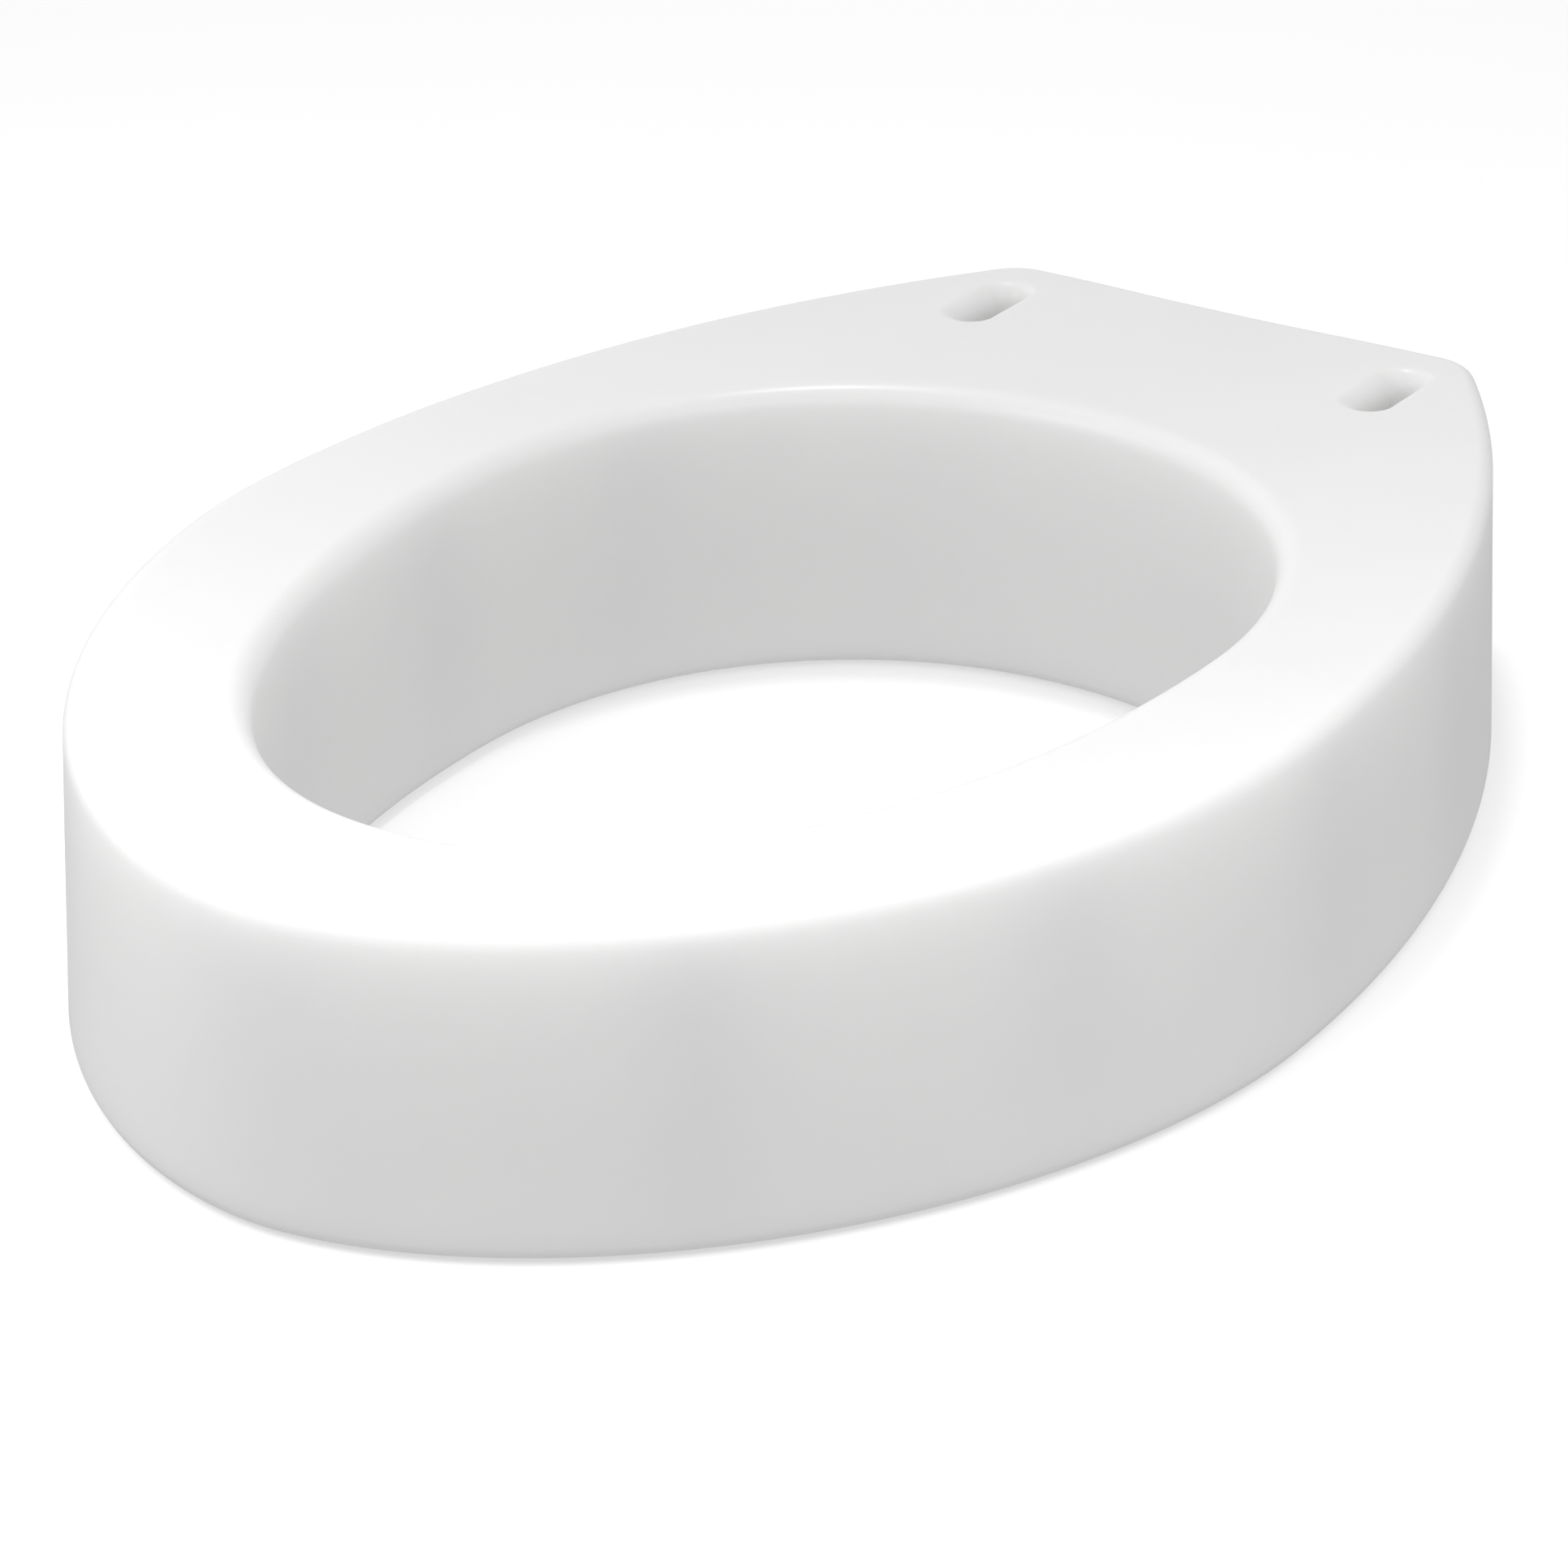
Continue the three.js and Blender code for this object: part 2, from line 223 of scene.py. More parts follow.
def closed_outline(half, sharp=None):
    """Even points and outward normals. Curvature is eased, except near the sharp places."""
    step = np.r_[0, np.cumsum(np.linalg.norm(np.diff(half, axis=0), axis=1))]
    at = np.linspace(0, step[-1], STATIONS // 2 + 1)
    right = np.stack([np.interp(at, step, half[:, k]) for k in (0, 1)], 1)
    points = np.concatenate([right, right[1:-1][::-1] * [-1, 1]])
    ease = np.ones(len(points))
    for place in sharp or []:
        away = np.linalg.norm(np.abs(points * [1, 0]) + points * [0, 1] - place, axis=1)
        ease = np.minimum(ease, np.clip((away - SHARP_REACH) / SHARP_BLEND, 0, 1))
    for share in EASE_SHARES * EASE_PASSES:
        middle = (np.roll(points, 1, 0) + np.roll(points, -1, 0)) / 2
        points = points + (middle - points) * (share * ease)[:, None]
    along = np.roll(points, -1, 0) - np.roll(points, 1, 0)
    normals = np.stack([along[:, 1], -along[:, 0]], 1)
    return points, normals / np.linalg.norm(normals, axis=1)[:, None]


outer_points, outer_normals = closed_outline(outer_half(), [(CORNER_X, HALF_LENGTH)])
hole_points, hole_normals = closed_outline(hole_half())


def band_middle(share):
    i = round(share * STATIONS) % STATIONS
    return (outer_points[i] + hole_points[i]) / 2


# ---- Mesh building ----


class Builder:
    """Collects loops and faces, then welds them into one closed mesh."""

    def __init__(self):
        self.points = []
        self.faces = []
        self.count = 0

    def add(self, points):
        self.points.append(np.asarray(points, float))
        first = self.count
        self.count += len(points)
        return first

    def loft(self, loops):
        """Quads between closed loops of the same number of points."""
        n = len(loops[0])
        firsts = [self.add(loop) for loop in loops]
        for a, b in zip(firsts, firsts[1:]):
            for i in range(n):
                j = (i + 1) % n
                self.faces.append((a + i, a + j, b + j, b + i))

    def cap(self, loop, rings):
        """Closes a flat loop with shrinking rings and a fan."""
        centre = np.mean(loop, axis=0)
        loops = [centre + (loop - centre) * (1 - k / (rings + 1)) for k in range(rings + 1)]
        self.loft(loops)
        first = self.add(np.concatenate([loops[-1], [centre]]))
        n = len(loop)
        for i in range(n):
            self.faces.append((first + i, first + (i + 1) % n, first + n))

    def mesh(self, name):
        data = bpy.data.meshes.new(name)
        data.from_pydata(np.concatenate(self.points).tolist(), [], self.faces)
        bm = bmesh.new()
        bm.from_mesh(data)
        bmesh.ops.remove_doubles(bm, verts=bm.verts, dist=SAME_POINT)
        bmesh.ops.recalc_face_normals(bm, faces=bm.faces)
        loose = [v for v in bm.verts if not v.link_faces]
        bmesh.ops.delete(bm, geom=loose, context="VERTS")
        opened = sum(1 for e in bm.edges if len(e.link_faces) != 2)
        if opened:
            print(f"{name}: {opened} edges are open")
        for f in bm.faces:
            f.smooth = True
        bm.to_mesh(data)
        bm.free()
        return data


def at_height(flat, z):
    return np.column_stack([flat, np.broadcast_to(z, len(flat))])


def stadium(x, y, radius, travel, z, around, ramp=0.0):
    """A closed loop round a slot that runs along Y, or a circle where there is no travel."""
    angle = np.arange(around) * 2 * math.pi / around + math.pi / around
    px = x + radius * np.cos(angle)
    py = y + radius * np.sin(angle) + np.sign(np.sin(angle)) * travel / 2
    py -= np.where(np.sin(angle) < 0, ramp, 0)
    loop = np.stack([px, py, np.full(around, z)], 1)
    if not travel:
        return loop
    steps = np.r_[loop, loop[:1]]
    length = np.r_[0, np.cumsum(np.linalg.norm(np.diff(steps, axis=0), axis=1))]
    even = np.linspace(0, length[-1], around, endpoint=False)
    return np.stack([np.interp(even, length, steps[:, k]) for k in range(3)], 1)


def from_slot(flat, hole):
    """Distance of points from the middle line of a slot or circle."""
    x, y, _, travel, _ = hole
    over = np.clip(np.abs(flat[:, 1] - y) - travel / 2, 0, None)
    return np.hypot(flat[:, 0] - x, over)


def inside_loop(flat, loop):
    after = np.roll(loop, -1, 0)
    x, y = flat[:, 0, None], flat[:, 1, None]
    spans = (loop[:, 1] > y) != (after[:, 1] > y)
    rise = np.where(after[:, 1] == loop[:, 1], 1, after[:, 1] - loop[:, 1])
    across = loop[:, 0] + (y - loop[:, 1]) * (after[:, 0] - loop[:, 0]) / rise
    return (spans & (x < across)).sum(1) % 2 == 1


def in_quads(flat, quads):
    inside = np.zeros(len(flat), bool)
    for quad in quads:
        low, high = quad.min(0), quad.max(0)
        near = np.where(((flat >= low) & (flat <= high)).all(1) & ~inside)[0]
        if not len(near):
            continue
        edge = np.roll(quad, -1, 0) - quad
        away = flat[near][:, None] - quad[None]
        turn = edge[None, :, 0] * away[:, :, 1] - edge[None, :, 1] * away[:, :, 0]
        inside[near] |= (turn >= -1e-12).all(1) | (turn <= 1e-12).all(1)
    return inside


def plate(builder, outside, inside, z, holes):
    """A flat band between two outlines, opened round holes of (x, y, radius, travel, around)."""
    middle = np.linspace(2.5 * BAND_EDGE, 1 - 2.5 * BAND_EDGE, BAND_STEPS)
    share = np.r_[0, BAND_EDGE, middle, 1 - BAND_EDGE, 1]
    grid = outside[None] + (inside - outside)[None] * share[:, None, None]
    rows, n = grid.shape[:2]
    flat = grid.reshape(-1, 2)
    near = np.zeros(len(flat), bool)
    for hole in holes:
        near |= from_slot(flat, hole) < hole[2] + OPENING_MARGIN
    kept, opened = [], []
    for r in range(rows - 1):
        for i in range(n):
            j = (i + 1) % n
            quad = (r * n + i, r * n + j, (r + 1) * n + j, (r + 1) * n + i)
            (opened if near[list(quad)].any() else kept).append(quad)
    first = builder.add(at_height(flat, z))
    builder.faces += [tuple(first + k for k in quad) for quad in kept]
    if not opened:
        return
    uses = {}
    for quad in opened:
        for a, b in zip(quad, quad[1:] + quad[:1]):
            uses[frozenset((a, b))] = uses.get(frozenset((a, b)), 0) + 1
    rim = [tuple(sorted(pair)) for pair, times in uses.items() if times == 1]
    ids = sorted({k for pair in rim for k in pair})
    place = {k: i for i, k in enumerate(ids)}
    points = [Vector(flat[k] / MM) for k in ids]
    edges = [(place[a], place[b]) for a, b in rim]
    loops = [stadium(x, y, r, travel, z, around)[:, :2] for x, y, r, travel, around in holes]
    for loop in loops:
        around = len(loop)
        start = len(points)
        points += [Vector(p / MM) for p in loop]
        edges += [(start + i, start + (i + 1) % around) for i in range(around)]
    verts, _, faces, _, _, _ = delaunay_2d_cdt(points, edges, [], 0, 1e-5)
    verts = np.array([tuple(v) for v in verts]) * MM
    faces = np.array([f for f in faces if len(f) == 3])
    a, b, c = (verts[faces[:, k]] for k in range(3))
    area = np.abs((b - a)[:, 0] * (c - a)[:, 1] - (b - a)[:, 1] * (c - a)[:, 0]) / 2
    faces = faces[area > FLAT_AREA]
    centres = verts[faces].mean(1)
    keep = in_quads(centres, [flat[list(quad)] for quad in opened])
    for loop in loops:
        keep &= ~inside_loop(centres, loop)
    first = builder.add(at_height(verts, z))
    builder.faces += [tuple(int(first + k) for k in f) for f in faces[keep]]


def shift(points, normals, offset, z):
    return at_height(points + normals * np.reshape(offset, (-1, 1)), z)


def rear_share(y):
    """0 in front, 1 from the second CHANGE_Y on, and smooth between."""
    share = min(max((y - CHANGE_Y[0]) / (CHANGE_Y[1] - CHANGE_Y[0]), 0), 1)
    return share * share * (3 - 2 * share)


def rounded(centre_offset, centre_z, radius, start, stop, steps):
    """Section points of (offset, z) on a fillet, between two angles in degrees."""
    angle = np.radians(np.linspace(start, stop, steps + 1))
    return [(centre_offset + radius * math.cos(a), centre_z + radius * math.sin(a)) for a in angle]


def straight(start, stop, count):
    """Section points on the line between two, without those two."""
    shares = np.linspace(0, 1, count)[1:-1]
    along, rise = stop[0] - start[0], stop[1] - start[1]
    return [(start[0] + along * share, start[1] + rise * share) for share in shares]


# ---- Shell ----


def outer_wall_section(rear):
    """Offset and z from the deck to the base, with the parting bead under the lower edge."""
    inset = DRAFT[0] + (DRAFT[1] - DRAFT[0]) * rear
    edge = DECK_OUTER_RADIUS[0] + (DECK_OUTER_RADIUS[1] - DECK_OUTER_RADIUS[0]) * rear
    lean = math.degrees(math.atan(inset / (DECK_Z - BASE_Z)))
    bottom = BASE_Z + BASE_OUTER_RADIUS
    deck = rounded(-inset - edge, DECK_Z - edge, edge, 90, lean, 12)
    base = []
    smooth = [(lean + (BEAD_START - lean) * k / 6, 0) for k in range(7)]
    for angle, proud in [*smooth, *BEAD_STEPS]:
        radius = BASE_OUTER_RADIUS + proud * PARTING_BEAD
        base += rounded(-BASE_OUTER_RADIUS, bottom, radius, angle, angle, 0)
    return deck + straight(deck[-1], base[0], 24) + base


def hole_wall_section():
    """From the deck to the base. Offsets grow away from the hole, into the ring."""
    top = DECK_Z - DECK_HOLE_RADIUS
    bottom = BASE_Z + BASE_HOLE_RADIUS
    deck = rounded(DECK_HOLE_RADIUS, top, DECK_HOLE_RADIUS, 90, 180, 14)
    base = rounded(BASE_HOLE_RADIUS - HOLE_FLARE, bottom, BASE_HOLE_RADIUS, 180, 270, 9)
    return deck + straight(deck[-1], base[0], 20) + base


def slot_section():
    """Radius and z of a slot's wall, from the deck to the base."""
    angle = np.radians(np.linspace(90, 180, 14))
    mouth = [
        (
            SLOT_RADIUS + SLOT_MOUTH + SLOT_MOUTH * math.cos(a),
            DECK_Z - SLOT_MOUTH_DEPTH + SLOT_MOUTH_DEPTH * math.sin(a),
        )
        for a in angle
    ]
    foot_top = BASE_Z + SLOT_FOOT_HEIGHT
    wall = [(SLOT_RADIUS, z) for z in np.linspace(DECK_Z - SLOT_MOUTH_DEPTH, foot_top, 14)[1:]]
    flare = [
        (SLOT_RADIUS + SLOT_FOOT * t * t, foot_top + (BASE_Z + SLOT_FOOT_ROUND - foot_top) * t)
        for t in np.linspace(0, 1, 6)[1:]
    ]
    edge_middle = (SLOT_RADIUS + SLOT_FOOT + SLOT_FOOT_ROUND, BASE_Z + SLOT_FOOT_ROUND)
    edge = rounded(*edge_middle, SLOT_FOOT_ROUND, 180, 270, 5)[1:]
    return mouth + wall + flare + edge


def slot_ramp(z):
    """How much further forward a slot's front end lies at a height in its mouth."""
    share = min(max((z - DECK_Z + SLOT_MOUTH_DEPTH) / SLOT_MOUTH_DEPTH, 0), 1)
    return SLOT_RAMP * share * share


def well_section():
    """Radius and z of a pillar's well, from the base up to the flat of its tip."""
    edge = rounded(WELL_MOUTH_RADIUS + WELL_ROUND, BASE_Z + WELL_ROUND, WELL_ROUND, 270, 180, 6)
    cone = [
        (WELL_MOUTH_RADIUS + (WELL_TIP_RADIUS - WELL_MOUTH_RADIUS) * t, z)
        for t, z in zip(
            np.linspace(0, 1, 14)[1:],
            np.linspace(BASE_Z + WELL_ROUND, WELL_TIP_Z - WELL_TIP_ROUND, 14)[1:],
        )
    ]
    inner = WELL_TIP_RADIUS - WELL_TIP_ROUND
    tip = rounded(inner, WELL_TIP_Z - WELL_TIP_ROUND, WELL_TIP_ROUND, 0, 90, 6)[1:]
    return edge + cone + tip


def recess_section(radius, depth, lip=RECESS_LIP):
    """Radius and z of a shallow recess with a softened lip."""
    edge = rounded(radius + lip, BASE_Z + lip, lip, 270, 180, 4)
    floor = BASE_Z + depth
    return edge + [(radius, floor - RECESS_BEVEL), (radius - RECESS_BEVEL, floor)]


def place_of(node):
    low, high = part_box(node)
    middle = (low + high) / 2
    return middle.x, middle.y, (high.x - low.x) / 2


def build_shell():
    builder = Builder()
    outer_sections = np.array([outer_wall_section(rear_share(y)) for y in outer_points[:, 1]])
    outer_loops = [
        shift(outer_points, outer_normals, outer_sections[:, k, 0], outer_sections[:, k, 1])
        for k in range(outer_sections.shape[1])
    ]
    hole_section = hole_wall_section()
    builder.loft(outer_loops)
    builder.loft([shift(hole_points, hole_normals, o, z) for o, z in hole_section])

    deck_holes, base_holes = [], []
    for x in (-SLOT_X, SLOT_X):
        section = slot_section()
        top, bottom = section[0], section[-1]
        section = [(top[0] + FLAT_RING, top[1])] + section + [(bottom[0] + FLAT_RING, bottom[1])]
        loops = [
            stadium(x, SLOT_Y, radius, SLOT_TRAVEL, z, SLOT_AROUND, slot_ramp(z))
            for radius, z in section
        ]
        builder.loft(loops)
        mouth_y, mouth_travel = SLOT_Y - SLOT_RAMP / 2, SLOT_TRAVEL + SLOT_RAMP
        deck_holes.append((x, mouth_y, section[0][0], mouth_travel, SLOT_AROUND))
        base_holes.append((x, SLOT_Y, section[-1][0], SLOT_TRAVEL, SLOT_AROUND))

    def blind(x, y, section, around, rings):
        section = [(section[0][0] + FLAT_RING, section[0][1])] + section
        loops = [stadium(x, y, r, 0, z, around) for r, z in section]
        builder.loft(loops)
        builder.cap(loops[-1], rings)
        base_holes.append((x, y, section[0][0], 0, around))

    for i in range(WELL_COUNT):
        x, y = band_middle(i / WELL_COUNT)
        blind(x, y, well_section(), WELL_AROUND, 2)
    for node in PAD_NODES:
        x, y, radius = place_of(node)
        blind(x, y, recess_section(radius + RECESS_GAP, PAD_RECESS), WELL_AROUND, 3)
    x, y, radius = place_of("vent_plug")
    bore = recess_section(radius + RECESS_GAP, PLUG_RECESS, VENT_LIP)
    bore += [(VENT_BORE_RADIUS, BASE_Z + PLUG_RECESS), (VENT_BORE_RADIUS, BASE_Z + VENT_BORE)]
    blind(x, y, bore, PLUG_AROUND, 1)

    deck_outer = outer_loops[0][:, :2]
    deck_inner = hole_points + hole_normals * hole_section[0][0]
    plate(builder, deck_outer, deck_inner, DECK_Z, deck_holes)
    base_outer = outer_loops[-1][:, :2]
    base_inner = hole_points + hole_normals * hole_section[-1][0]
    plate(builder, base_outer, base_inner, BASE_Z, base_holes)
    return builder.mesh("shell")


def settle(data):
    """The slow unevenness of a blown skin, and the faint sinks over the pillars' tips."""
    count = len(data.vertices)
    places = np.zeros(count * 3)
    normals = np.zeros(count * 3)
    data.vertices.foreach_get("co", places)
    data.vertices.foreach_get("normal", normals)
    places, normals = places.reshape(-1, 3), normals.reshape(-1, 3)

    # Nothing moves near the base, where the pads and the plug sit
    high = np.clip((places[:, 2] - BASE_Z - CALM_HEIGHT) / CALM_FADE, 0, 1)
    high = high * high * (3 - 2 * high)
    slow = np.array([noise.noise(Vector(p) / SLOW_WAVE) for p in places])
    short = np.array([noise.noise(Vector(p) / SHORT_WAVE + Vector((7, 3, 5))) for p in places])
    move = (SLOW_DEPTH * slow + SHORT_DEPTH * short) * high
    for i in range(WELL_COUNT):
        away = np.linalg.norm(places[:, :2] - band_middle(i / WELL_COUNT), axis=1)
        top = (normals[:, 2] > 0.9) & (places[:, 2] > DECK_Z - 1 * MM)
        move -= np.where(top, SINK_DEPTH * np.exp(-((away / SINK_RADIUS) ** 2)), 0)
    places = places + normals * move[:, None]
    places[:, 2] = np.minimum(places[:, 2], HIGHEST)
    data.vertices.foreach_set("co", places.reshape(-1))
    data.update()


def link(name, data):
    piece = bpy.data.objects.new(name, data)
    bpy.context.scene.collection.objects.link(piece)
    return piece


# ---- Pads and plug ----


def turned(name, section, x, y, around, top_rings=2):
    """A closed turned piece from (radius, z) points, from the bottom ring to the top ring."""
    builder = Builder()
    loops = [stadium(x, y, r, 0, z, around) for r, z in section]
    builder.loft(loops)
    builder.cap(loops[0], top_rings)
    builder.cap(loops[-1], top_rings)
    return link(name, builder.mesh(name))


def pad_piece(name, node):
    """A rubber disc with ring grooves in its foot."""
    low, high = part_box(node)
    x, y, radius = place_of(node)
    section = []
    for at in PAD_GROOVE_RADII:
        section += [(at - PAD_GROOVE_MOUTH, low.z), (at - PAD_GROOVE_FLOOR, low.z + PAD_GROOVE)]
        section += [(at + PAD_GROOVE_FLOOR, low.z + PAD_GROOVE), (at + PAD_GROOVE_MOUTH, low.z)]
    section += rounded(radius - PAD_FOOT_ROUND, low.z + PAD_FOOT_ROUND, PAD_FOOT_ROUND, -90, 0, 6)
    section += rounded(radius - PAD_TOP_ROUND, high.z - PAD_TOP_ROUND, PAD_TOP_ROUND, 0, 90, 3)
    return turned(name, section, x, y, PAD_AROUND)


def plug_piece(name, node):
    """A plug with a dished head, a stem and a barb."""
    low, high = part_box(node)
    x, y, radius = place_of(node)
    head = low.z + PLUG_HEAD
    stem, barb, tip = PLUG_RADII
    dish = [(r * MM, low.z + z * MM) for r, z in PLUG_DISH]
    rim = PLUG_RIM_ROUND
    section = dish + rounded(radius - rim, low.z + rim, rim, -90, 0, 5)
    section += [(radius, head - 0.2 * MM), (radius - 0.2 * MM, head), (stem + 0.4 * MM, head)]
    section += [(stem, head + 0.4 * MM), (stem, high.z - 3.2 * MM)]
    section += [(barb - 0.2 * MM, high.z - 3 * MM), (barb, high.z - 2.7 * MM)]
    section += [(tip + 0.3 * MM, high.z - 0.3 * MM), (tip, high.z)]
    return turned(name, section, x, y, STOPPER_AROUND)


# ---- Materials ----


def new_material(name):
    material = bpy.data.materials.new(name)
    material.use_nodes = True
    tree = material.node_tree
    shader = tree.nodes["Principled BSDF"]
    return material, tree, shader


def add_node(tree, kind, **values):
    node = tree.nodes.new(kind)
    for key, value in values.items():
        if key in node.inputs:
            node.inputs[key].default_value = value
        else:
            setattr(node, key, value)
    return node


def noise_of(tree, where, scale, detail=2.0, roughness=0.5):
    node = add_node(tree, "ShaderNodeTexNoise", Scale=scale, Detail=detail, Roughness=roughness)
    tree.links.new(where, node.inputs["Vector"])
    return node.outputs["Fac"]


def spread(tree, value, low, high, to_low, to_high):
    node = add_node(tree, "ShaderNodeMapRange")
    ends = {"From Min": low, "From Max": high, "To Min": to_low, "To Max": to_high}
    for key, number in ends.items():
        node.inputs[key].default_value = number
    tree.links.new(value, node.inputs["Value"])
    return node.outputs["Result"]


def blend_colours(tree, factor, first, second):
    node = tree.nodes.new("ShaderNodeMix")
    node.data_type = "RGBA"
    node.inputs["A"].default_value = (*first, 1)
    node.inputs["B"].default_value = (*second, 1)
    tree.links.new(factor, node.inputs["Factor"])
    return node.outputs["Result"]


def relief(tree, height, distance, strength, before=None):
    node = add_node(tree, "ShaderNodeBump", Strength=strength, Distance=distance)
    tree.links.new(height, node.inputs["Height"])
    if before is not None:
        tree.links.new(before, node.inputs["Normal"])
    return node.outputs["Normal"]


# How deep light travels in the walls and under the deck, and how far below the deck the one begins
# to turn into the other and has done so
WALL_GLOW = 25 * MM
DECK_GLOW = 2 * MM
GLOW_FADE = 4 * MM
GLOW_MARGIN = 0.5 * MM


def plastic(name, light, dark, rough, grain_scale, grain, glow):
    """Moulded polyethylene: a fine mould grain, slow ripples, and a slightly uneven tone and sheen.

    Light travels deep inside the hollow walls, and only through the skin on the deck.
    """
    material, tree, shader = new_material(name)
    where = tree.nodes.new("ShaderNodeTexCoord").outputs["Object"]
    tone = noise_of(tree, where, 14, 3, 0.55)
    colour = blend_colours(tree, spread(tree, tone, 0.3, 0.7, 0, 1), light, dark)
    tree.links.new(colour, shader.inputs["Base Color"])
    sheen = noise_of(tree, where, 38, 4, 0.6)
    uneven = spread(tree, sheen, 0.25, 0.75, rough - 0.04, rough + 0.05)
    tree.links.new(uneven, shader.inputs["Roughness"])
    ripple = relief(tree, noise_of(tree, where, 70, 1, 0.4), 0.25 * MM, 0.18)
    mould = relief(tree, noise_of(tree, where, grain_scale, 2, 0.55), 0.04 * MM, grain, ripple)
    tree.links.new(mould, shader.inputs["Normal"])
    shader.inputs["Subsurface Weight"].default_value = glow
    shader.inputs["Subsurface Radius"].default_value = (1.0, 1.0, 0.98)
    parts = add_node(tree, "ShaderNodeSeparateXYZ")
    tree.links.new(where, parts.inputs["Vector"])
    fade = (DECK_Z - GLOW_FADE, DECK_Z - GLOW_MARGIN)
    depth = spread(tree, parts.outputs["Z"], *fade, WALL_GLOW, DECK_GLOW)
    tree.links.new(depth, shader.inputs["Subsurface Scale"])
    return material


def rubber(name):
    material, tree, shader = new_material(name)
    where = tree.nodes.new("ShaderNodeTexCoord").outputs["Object"]
    dust = spread(tree, noise_of(tree, where, 160, 5, 0.6), 0.35, 0.7, 0, 1)
    colour = blend_colours(tree, dust, (0.2, 0.2, 0.196), (0.27, 0.27, 0.262))
    tree.links.new(colour, shader.inputs["Base Color"])
    tree.links.new(spread(tree, dust, 0, 1, 0.68, 0.88), shader.inputs["Roughness"])
    grain = relief(tree, noise_of(tree, where, 2600, 3, 0.6), 0.05 * MM, 0.5)
    tree.links.new(grain, shader.inputs["Normal"])
    return material


moulding = plastic(
    "white_polyethylene",
    light=(0.88, 0.88, 0.876),
    dark=(0.862, 0.863, 0.86),
    rough=0.32,
    grain_scale=1500,
    grain=0.35,
    glow=0.85,
)
plug_plastic = plastic(
    "plug_polyethylene",
    light=(0.72, 0.72, 0.71),
    dark=(0.69, 0.69, 0.685),
    rough=0.45,
    grain_scale=1900,
    grain=0.3,
    glow=0.1,
)
pad_rubber = rubber("grey_rubber")

# ---- Pieces ----

shell_mesh = build_shell()
settle(shell_mesh)
shell = link("riser_moulding", shell_mesh)
shell.data.materials.append(moulding)
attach(shell, "root")
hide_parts("riser_shell")

for node in PAD_NODES:
    pad = pad_piece("grip_" + node, node)
    pad.data.materials.append(pad_rubber)
    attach(pad, "root")
    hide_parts(node)

plug = plug_piece("vent_stopper", "vent_plug")
plug.data.materials.append(plug_plastic)
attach(plug, "root")
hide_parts("vent_plug")

# ---- Floor, light and camera ----

TARGET = Vector((0, 0, BASE_Z + (DECK_Z - BASE_Z) / 2))

# The view. Its angles are in degrees, with the azimuth from the front towards +X. TARGET lies this
# far to the right of the view's middle and above it. The lens and its sensor are in millimetres.
VIEW_AZIMUTH = 34.376
VIEW_ELEVATION = 25.218
VIEW_ROLL = -0.809
VIEW_DISTANCE = 1.699
TARGET_RIGHT = 4.0153 * MM
TARGET_ABOVE = 17.1671 * MM
LENS = 139.0435
SENSOR_WIDTH = 36

FLOOR_RADIUS = 9
FLOOR_Z = -0.05 * MM
FLOOR_GLOW = 0.25

# Strength of the world's light above the horizon, below it, and what -X has on top
SKY_LIGHT = 0.575
FLOOR_LIGHT = 0.517
LEFT_LIGHT = 0.343


def floor_piece():
    """A white, slightly luminous sheet that lights nothing: the world's lower half does."""
    builder = Builder()
    builder.cap(stadium(0, 0, FLOOR_RADIUS, 0, FLOOR_Z, 64), 8)
    floor = link("studio_floor", builder.mesh("studio_floor"))
    material, tree, shader = new_material("floor_paper")
    where = tree.nodes.new("ShaderNodeTexCoord").outputs["Object"]
    tone = noise_of(tree, where, 3, 2, 0.5)
    colour = blend_colours(tree, tone, (0.9, 0.9, 0.9), (0.92, 0.92, 0.92))
    tree.links.new(colour, shader.inputs["Base Color"])
    shader.inputs["Roughness"].default_value = 0.9
    shader.inputs["Specular IOR Level"].default_value = 0.1
    shader.inputs["Emission Color"].default_value = (1, 1, 1, 1)
    shader.inputs["Emission Strength"].default_value = FLOOR_GLOW
    floor.data.materials.append(material)
    floor.visible_diffuse = False
    floor.visible_glossy = False
    floor.visible_transmission = False
    floor.visible_shadow = False


def softbox(name, place, size, watts, aim=None):
    """A square light, unseen by the camera, that faces straight down or at a point."""
    light = bpy.data.lights.new(name, "AREA")
    light.size = size
    light.energy = watts
    lamp = bpy.data.objects.new(name, light)
    bpy.context.scene.collection.objects.link(lamp)
    lamp.location = place
    if aim is not None:
        lamp.rotation_euler = (Vector(aim) - Vector(place)).to_track_quat("-Z", "Y").to_euler()
    lamp.visible_camera = False


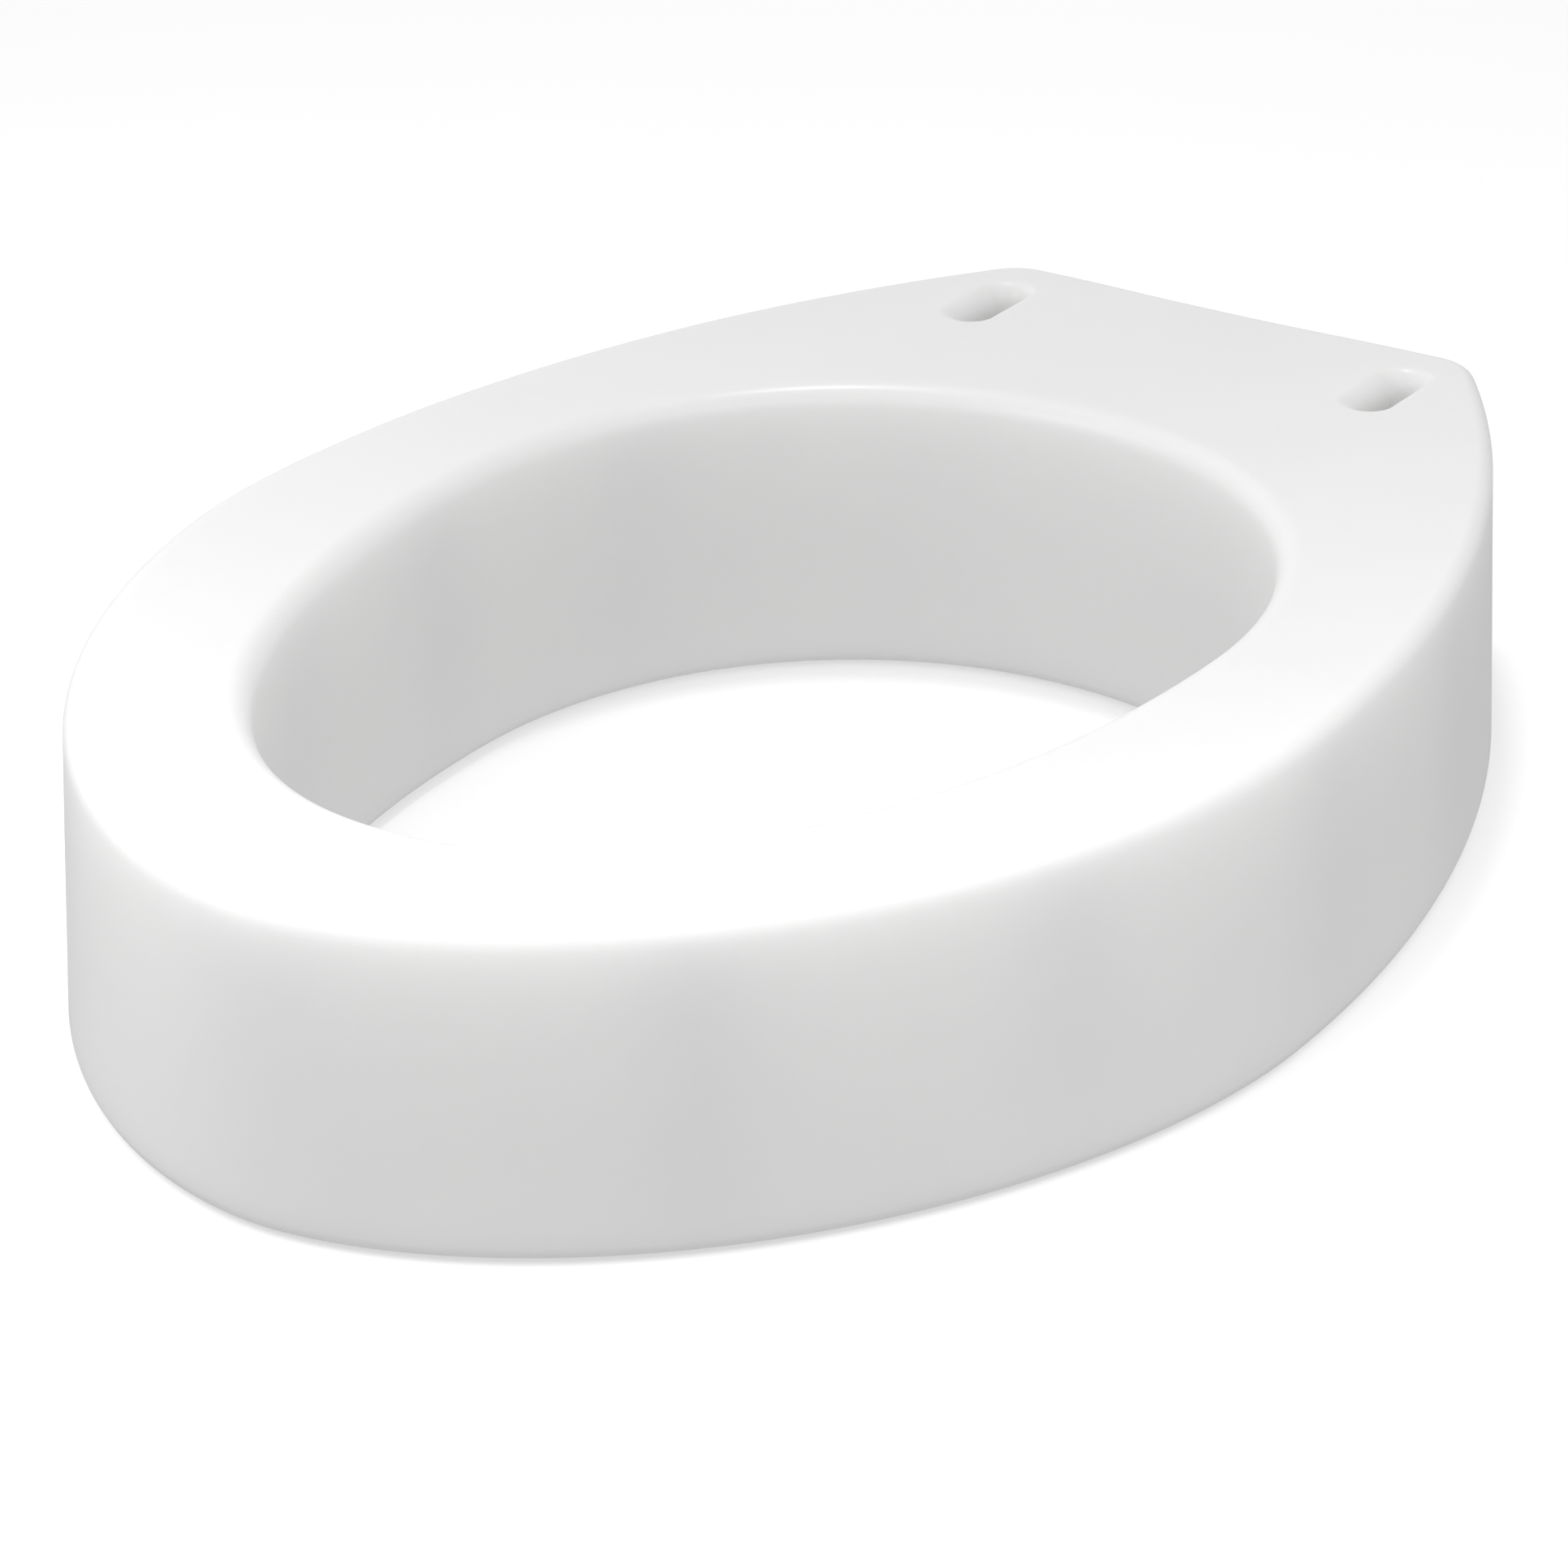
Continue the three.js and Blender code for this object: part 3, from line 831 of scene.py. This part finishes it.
def world_light():
    """White all round, a little stronger above the horizon, and most of all towards -X."""
    world = bpy.data.worlds.new("studio")
    bpy.context.scene.world = world
    world.use_nodes = True
    tree = world.node_tree
    way = tree.nodes.new("ShaderNodeSeparateXYZ")
    tree.links.new(tree.nodes.new("ShaderNodeTexCoord").outputs["Generated"], way.inputs["Vector"])
    upper = spread(tree, way.outputs["X"], -1, 0, SKY_LIGHT + LEFT_LIGHT, SKY_LIGHT)
    above = add_node(tree, "ShaderNodeMath", operation="GREATER_THAN")
    above.inputs[1].default_value = 0
    tree.links.new(way.outputs["Z"], above.inputs[0])
    level = tree.nodes.new("ShaderNodeMix")
    level.inputs["A"].default_value = FLOOR_LIGHT
    tree.links.new(above.outputs[0], level.inputs["Factor"])
    tree.links.new(upper, level.inputs["B"])
    tree.links.new(level.outputs["Result"], tree.nodes["Background"].inputs["Color"])


def studio():
    """Soft boxes by place, size and watts. The high one draws the line on the hole's far rim."""
    world_light()
    softbox("high_key", (-0.13, 0.29, 1.55), 0.16, 3.8, (0, 0.1, DECK_Z))
    softbox("front_left_softbox", (-0.4, -0.4, 0.4), 0.5, 1.18)
    softbox("front_softbox", (0.05, -0.42, 0.28), 0.4, 0.36)
    softbox("front_right_softbox", (0.33, -0.25, 0.28), 0.4, 0.28)
    softbox("right_softbox", (0.5, 0, 0.4), 0.5, 0.66)


def camera():
    """Looks past TARGET, which shows a little off the middle."""
    azimuth, elevation, roll = map(math.radians, (VIEW_AZIMUTH, VIEW_ELEVATION, VIEW_ROLL))
    back = Vector(
        (
            math.sin(azimuth) * math.cos(elevation),
            -math.cos(azimuth) * math.cos(elevation),
            math.sin(elevation),
        )
    )
    level = (-back).cross(Vector((0, 0, 1))).normalized()
    over = level.cross(-back)
    right = level * math.cos(roll) + over * math.sin(roll)
    up = over * math.cos(roll) - level * math.sin(roll)
    place = TARGET + back * VIEW_DISTANCE - right * TARGET_RIGHT - up * TARGET_ABOVE
    data = bpy.data.cameras.new("camera")
    data.sensor_width = SENSOR_WIDTH
    data.lens = LENS
    data.clip_end = 50
    eye = bpy.data.objects.new("camera", data)
    bpy.context.scene.collection.objects.link(eye)
    turn = Matrix((right, up, back)).transposed().to_4x4()
    eye.matrix_world = Matrix.Translation(place) @ turn
    bpy.context.scene.camera = eye


floor_piece()
studio()
camera()
bpy.context.scene.view_settings.view_transform = "Standard"
